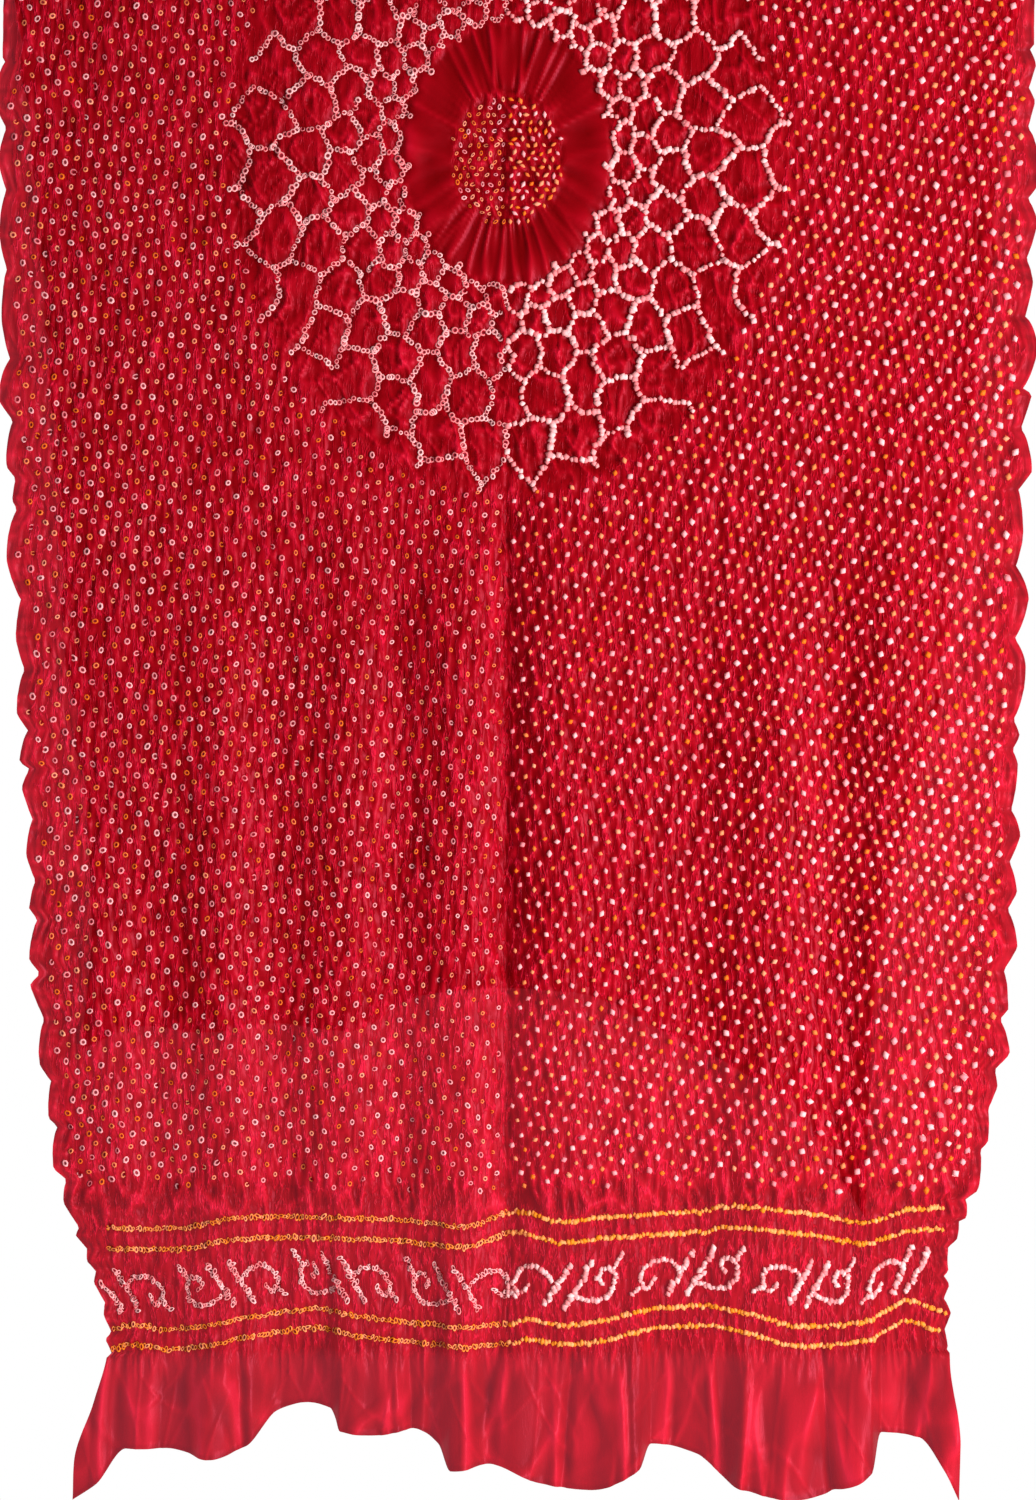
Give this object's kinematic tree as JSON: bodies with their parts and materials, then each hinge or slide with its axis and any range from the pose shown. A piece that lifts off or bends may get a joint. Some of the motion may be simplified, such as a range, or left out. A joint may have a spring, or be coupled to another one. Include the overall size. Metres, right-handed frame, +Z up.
{
  "type": "bandhani cloth",
  "caption": "Tie-dyed red silk bandhani dupatta with a round medallion, dotted field, scroll border and plain flounce, hung doubled over an unseen rail.",
  "frame": {"origin": "top of the fold, where the cloth turns over the rail, about midway across", "axes": "+Z up, +X to the right across the cloth seen from the front, -Y out of the front"},
  "size_m": [0.7472, 0.058, 1.1106],
  "materials": {
    "red_silk": "thin puckered silk, red, with small undyed white and yellow knot rings"
  },
  "bodies": {
    "root": {"bandhani_cloth": "red_silk"}
  },
  "joints": []
}
